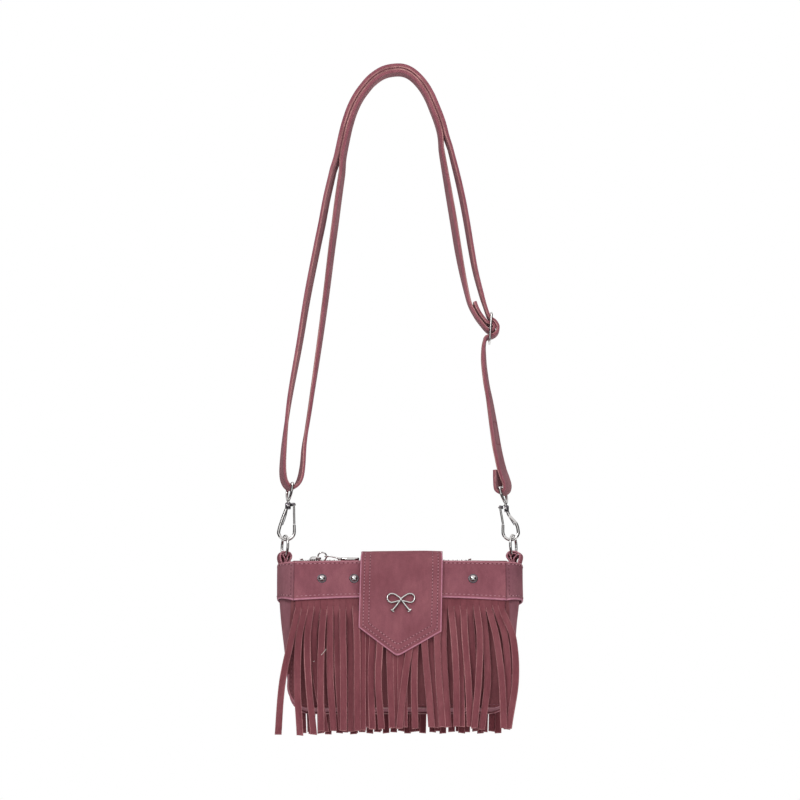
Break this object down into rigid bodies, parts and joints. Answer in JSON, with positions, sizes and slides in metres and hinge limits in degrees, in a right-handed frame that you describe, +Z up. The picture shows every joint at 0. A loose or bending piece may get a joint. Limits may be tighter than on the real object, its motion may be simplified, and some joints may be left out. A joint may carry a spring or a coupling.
{
  "type": "crossbody bag",
  "caption": "Small zipped suede crossbody bag with long fringe, a pointed snap flap with a bow, and a doubled strap on swivel snap hooks, shown hanging.",
  "frame": {"origin": "under the crown of the strap's inner strand, where a peg holds the bag up", "axes": "+X to the right of someone facing the flap, +Y to the back, +Z up"},
  "size_m": [0.194, 0.062, 0.5477],
  "materials": {
    "suede": "dusty rose suede, matt",
    "fringe": "thin cut suede, matt",
    "tape": "woven tape",
    "nickel": "polished nickel plate"
  },
  "bodies": {
    "bag": {"front_panel": "suede", "back_panel": "suede", "gusset": "suede", "front_band": "suede", "back_band": "suede", "left_side_band": "suede", "right_side_band": "suede", "flap_tail": "suede", "strap": "suede", "left_tab": "suede", "right_tab": "suede", "front_fringe": "fringe", "back_fringe": "fringe", "zip_tape_front": "tape", "zip_tape_back": "tape", "snap_socket": "nickel", "rivet_1": "nickel", "rivet_2": "nickel", "rivet_3": "nickel", "rivet_4": "nickel", "left_zip_stop": "nickel", "right_zip_stop": "nickel", "adjuster": "nickel", "left_eye": "nickel", "right_eye": "nickel"},
    "flap": {"flap": "suede", "bow": "nickel", "snap_stud": "nickel"},
    "slider": {"zip_slider": "nickel"},
    "pull_ring": {"pull_ring": "nickel"},
    "pull_bar": {"pull_bar": "nickel"},
    "left_ring": {"left_ring": "nickel"},
    "right_ring": {"right_ring": "nickel"},
    "left_hook": {"left_hook": "nickel", "left_gate_pin": "nickel"},
    "left_gate": {"left_gate": "nickel"},
    "right_hook": {"right_hook": "nickel", "right_gate_pin": "nickel"},
    "right_gate": {"right_gate": "nickel"}
  },
  "joints": [
    {"name": "flap_hinge", "type": "hinge", "parent": "bag", "child": "flap", "pos_m": [0.0015, 0.0175, -0.389], "axis": [-1, 0, 0], "range_deg": [0, 120]},
    {"name": "zip_slide", "type": "slide", "parent": "bag", "child": "slider", "axis": [1, 0, 0], "range_m": [-0.0047, 0.112]},
    {"name": "pull_ring_yaw", "type": "hinge", "parent": "slider", "child": "pull_ring", "pos_m": [-0.0636, -0.0062, -0.3965], "axis": [0, 0, 1], "range_deg": [-50, 0]},
    {"name": "pull_bar_yaw", "type": "hinge", "parent": "pull_ring", "child": "pull_bar", "pos_m": [-0.0573, -0.00678, -0.3965], "axis": [0, 0, 1], "range_deg": [-75, 0]},
    {"name": "left_hook_swivel", "type": "hinge", "parent": "bag", "child": "left_hook", "pos_m": [-0.0876, 0, -0.3524], "axis": [0, 0, 1], "range_deg": [-18, 18]},
    {"name": "left_gate_hinge", "type": "hinge", "parent": "left_hook", "child": "left_gate", "pos_m": [-0.0832, 0, -0.354], "axis": [0, 1, 0], "range_deg": [0, 20], "stiffness_Nm_per_rad": 0.01, "springref_deg": -14.32},
    {"name": "left_ring_swing", "type": "hinge", "parent": "bag", "child": "left_ring", "pos_m": [-0.09, 0, -0.39437], "axis": [0, 1, 0], "range_deg": [0, 6]},
    {"name": "right_hook_swivel", "type": "hinge", "parent": "bag", "child": "right_hook", "pos_m": [0.0829, 0, -0.3546], "axis": [0, 0, 1], "range_deg": [-18, 6]},
    {"name": "right_gate_hinge", "type": "hinge", "parent": "right_hook", "child": "right_gate", "pos_m": [0.0785, 0, -0.3562], "axis": [0, -1, 0], "range_deg": [0, 20], "stiffness_Nm_per_rad": 0.01, "springref_deg": -14.32},
    {"name": "right_ring_swing", "type": "hinge", "parent": "bag", "child": "right_ring", "pos_m": [0.0886, 0, -0.39402], "axis": [0, 1, 0], "range_deg": [-6, 0]}
  ]
}
